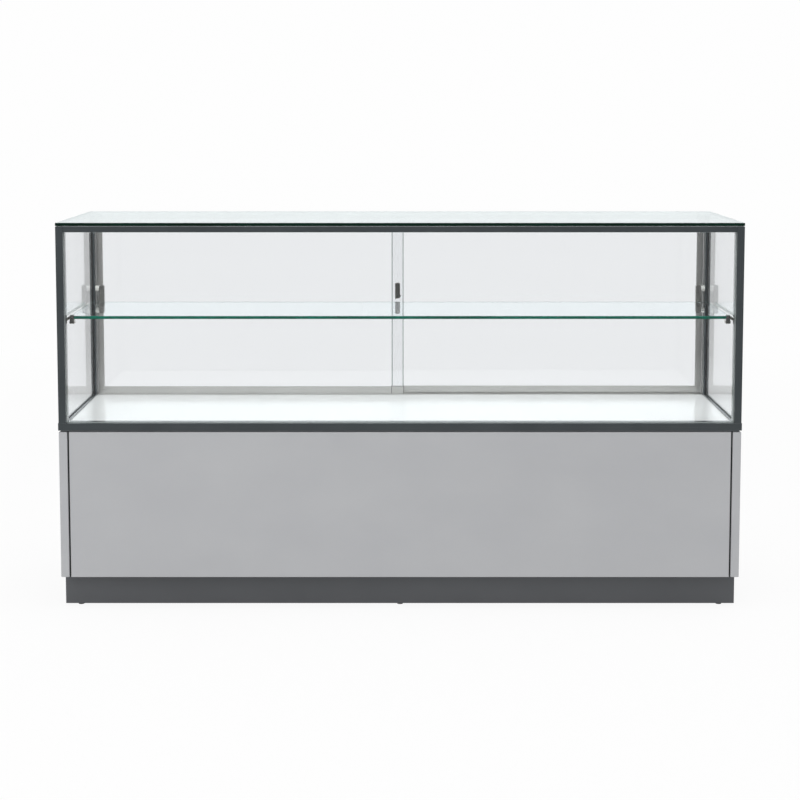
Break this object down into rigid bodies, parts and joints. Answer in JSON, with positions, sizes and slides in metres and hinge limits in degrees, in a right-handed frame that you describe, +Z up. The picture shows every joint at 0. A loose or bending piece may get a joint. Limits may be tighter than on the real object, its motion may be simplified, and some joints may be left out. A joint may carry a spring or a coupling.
{
  "type": "glass display counter",
  "caption": "Shop counter with a glazed aluminium showcase, a glass shelf and sliding glass rear doors, on a silver laminate base with sliding storage doors",
  "frame": {"origin": "middle of the overall footprint, on the floor", "axes": "+X along the counter to the customer's right, +Y from the customer to the staff side, +Z up"},
  "size_m": [1.8, 0.51, 1.03],
  "materials": {
    "clear_glass": "float glass, polished edges",
    "dark_aluminium": "dark anodised, satin faces",
    "natural_aluminium": "natural satin anodised",
    "silver_laminate": "silver grey laminate on board",
    "dark_laminate": "dark grey laminate on board",
    "white_laminate": "white laminate on board, semi-gloss",
    "black_rubber": "extruded gasket",
    "clear_tape": "bonding tape",
    "black_plastic": "moulded, matt",
    "grey_plastic": "extruded, matt",
    "nylon": "turned nylon",
    "nickel": "bright nickel plate",
    "dark_metal": "dark satin finish",
    "lock_steel": "nickel plated"
  },
  "bodies": {
    "counter": {"front_glass": "clear_glass", "left_glass": "clear_glass", "right_glass": "clear_glass", "top_glass": "clear_glass", "glass_shelf": "clear_glass", "bottom_rail_front": "dark_aluminium", "bottom_rail_left": "dark_aluminium", "bottom_rail_right": "dark_aluminium", "bottom_rail_rear": "dark_aluminium", "post_front_left": "dark_aluminium", "post_front_right": "dark_aluminium", "post_rear_left": "dark_aluminium", "post_rear_right": "dark_aluminium", "top_rail_front": "dark_aluminium", "top_rail_left": "dark_aluminium", "top_rail_right": "dark_aluminium", "top_rail_rear": "dark_aluminium", "door_track_top": "dark_aluminium", "rail_end_caps": "dark_aluminium", "door_track_bottom": "natural_aluminium", "side_panel_left": "silver_laminate", "side_panel_right": "silver_laminate", "front_panel": "silver_laminate", "bottom_panel": "silver_laminate", "top_panel": "silver_laminate", "divider_panel": "silver_laminate", "plinth_front_board": "dark_laminate", "plinth_rear_board": "dark_laminate", "plinth_end_boards": "dark_laminate", "shadow_gap_board": "dark_laminate", "display_deck": "white_laminate", "glazing_gaskets": "black_rubber", "front_gap_strips": "black_rubber", "top_glass_tape": "clear_tape", "plinth_glides": "black_plastic", "storage_track_bottom": "grey_plastic", "storage_track_top": "grey_plastic", "shelf_bracket_left": "nickel", "shelf_bracket_right": "nickel", "shelf_hanger_left": "nickel", "shelf_hanger_right": "nickel", "hanger_studs": "nickel"},
    "left_glass_door": {"left_door_glass": "clear_glass", "left_door_stile": "natural_aluminium", "left_door_shoe": "natural_aluminium", "left_door_end_block": "natural_aluminium", "lock_keeper": "dark_metal"},
    "right_glass_door": {"right_door_glass": "clear_glass", "right_door_stile": "natural_aluminium", "right_door_shoe": "natural_aluminium", "right_door_end_block": "natural_aluminium", "lock_case": "dark_metal"},
    "left_outer_roller": {"left_door_roller_outer": "nylon"},
    "left_inner_roller": {"left_door_roller_inner": "nylon"},
    "right_outer_roller": {"right_door_roller_outer": "nylon"},
    "right_inner_roller": {"right_door_roller_inner": "nylon"},
    "lock_barrel": {"lock_plug_and_cam": "lock_steel"},
    "left_storage_door": {"storage_door_left": "silver_laminate"},
    "right_storage_door": {"storage_door_right": "silver_laminate"}
  },
  "joints": [
    {"name": "left_door_slide", "type": "slide", "parent": "counter", "child": "left_glass_door", "axis": [1, 0, 0], "range_m": [0, 0.866]},
    {"name": "right_door_slide", "type": "slide", "parent": "counter", "child": "right_glass_door", "axis": [-1, 0, 0], "range_m": [0, 0.852]},
    {"name": "lock_turn", "type": "hinge", "parent": "right_glass_door", "child": "lock_barrel", "pos_m": [-0.007, 0.245, 0.7855], "axis": [0, 1, 0], "range_deg": [0, 90]},
    {"name": "left_storage_slide", "type": "slide", "parent": "counter", "child": "left_storage_door", "axis": [1, 0, 0], "range_m": [0, 0.852]},
    {"name": "right_storage_slide", "type": "slide", "parent": "counter", "child": "right_storage_door", "axis": [-1, 0, 0], "range_m": [0, 0.852]},
    {"name": "left_outer_roller_spin", "type": "hinge", "parent": "left_glass_door", "child": "left_outer_roller", "pos_m": [-0.833, 0.22775, 0.50475], "axis": [0, 1, 0], "continuous": true},
    {"name": "left_inner_roller_spin", "type": "hinge", "parent": "left_glass_door", "child": "left_inner_roller", "pos_m": [-0.007, 0.22775, 0.50475], "axis": [0, 1, 0], "continuous": true},
    {"name": "right_outer_roller_spin", "type": "hinge", "parent": "right_glass_door", "child": "right_outer_roller", "pos_m": [0.833, 0.23975, 0.50475], "axis": [0, 1, 0], "continuous": true},
    {"name": "right_inner_roller_spin", "type": "hinge", "parent": "right_glass_door", "child": "right_inner_roller", "pos_m": [-0.007, 0.23975, 0.50475], "axis": [0, 1, 0], "continuous": true}
  ]
}
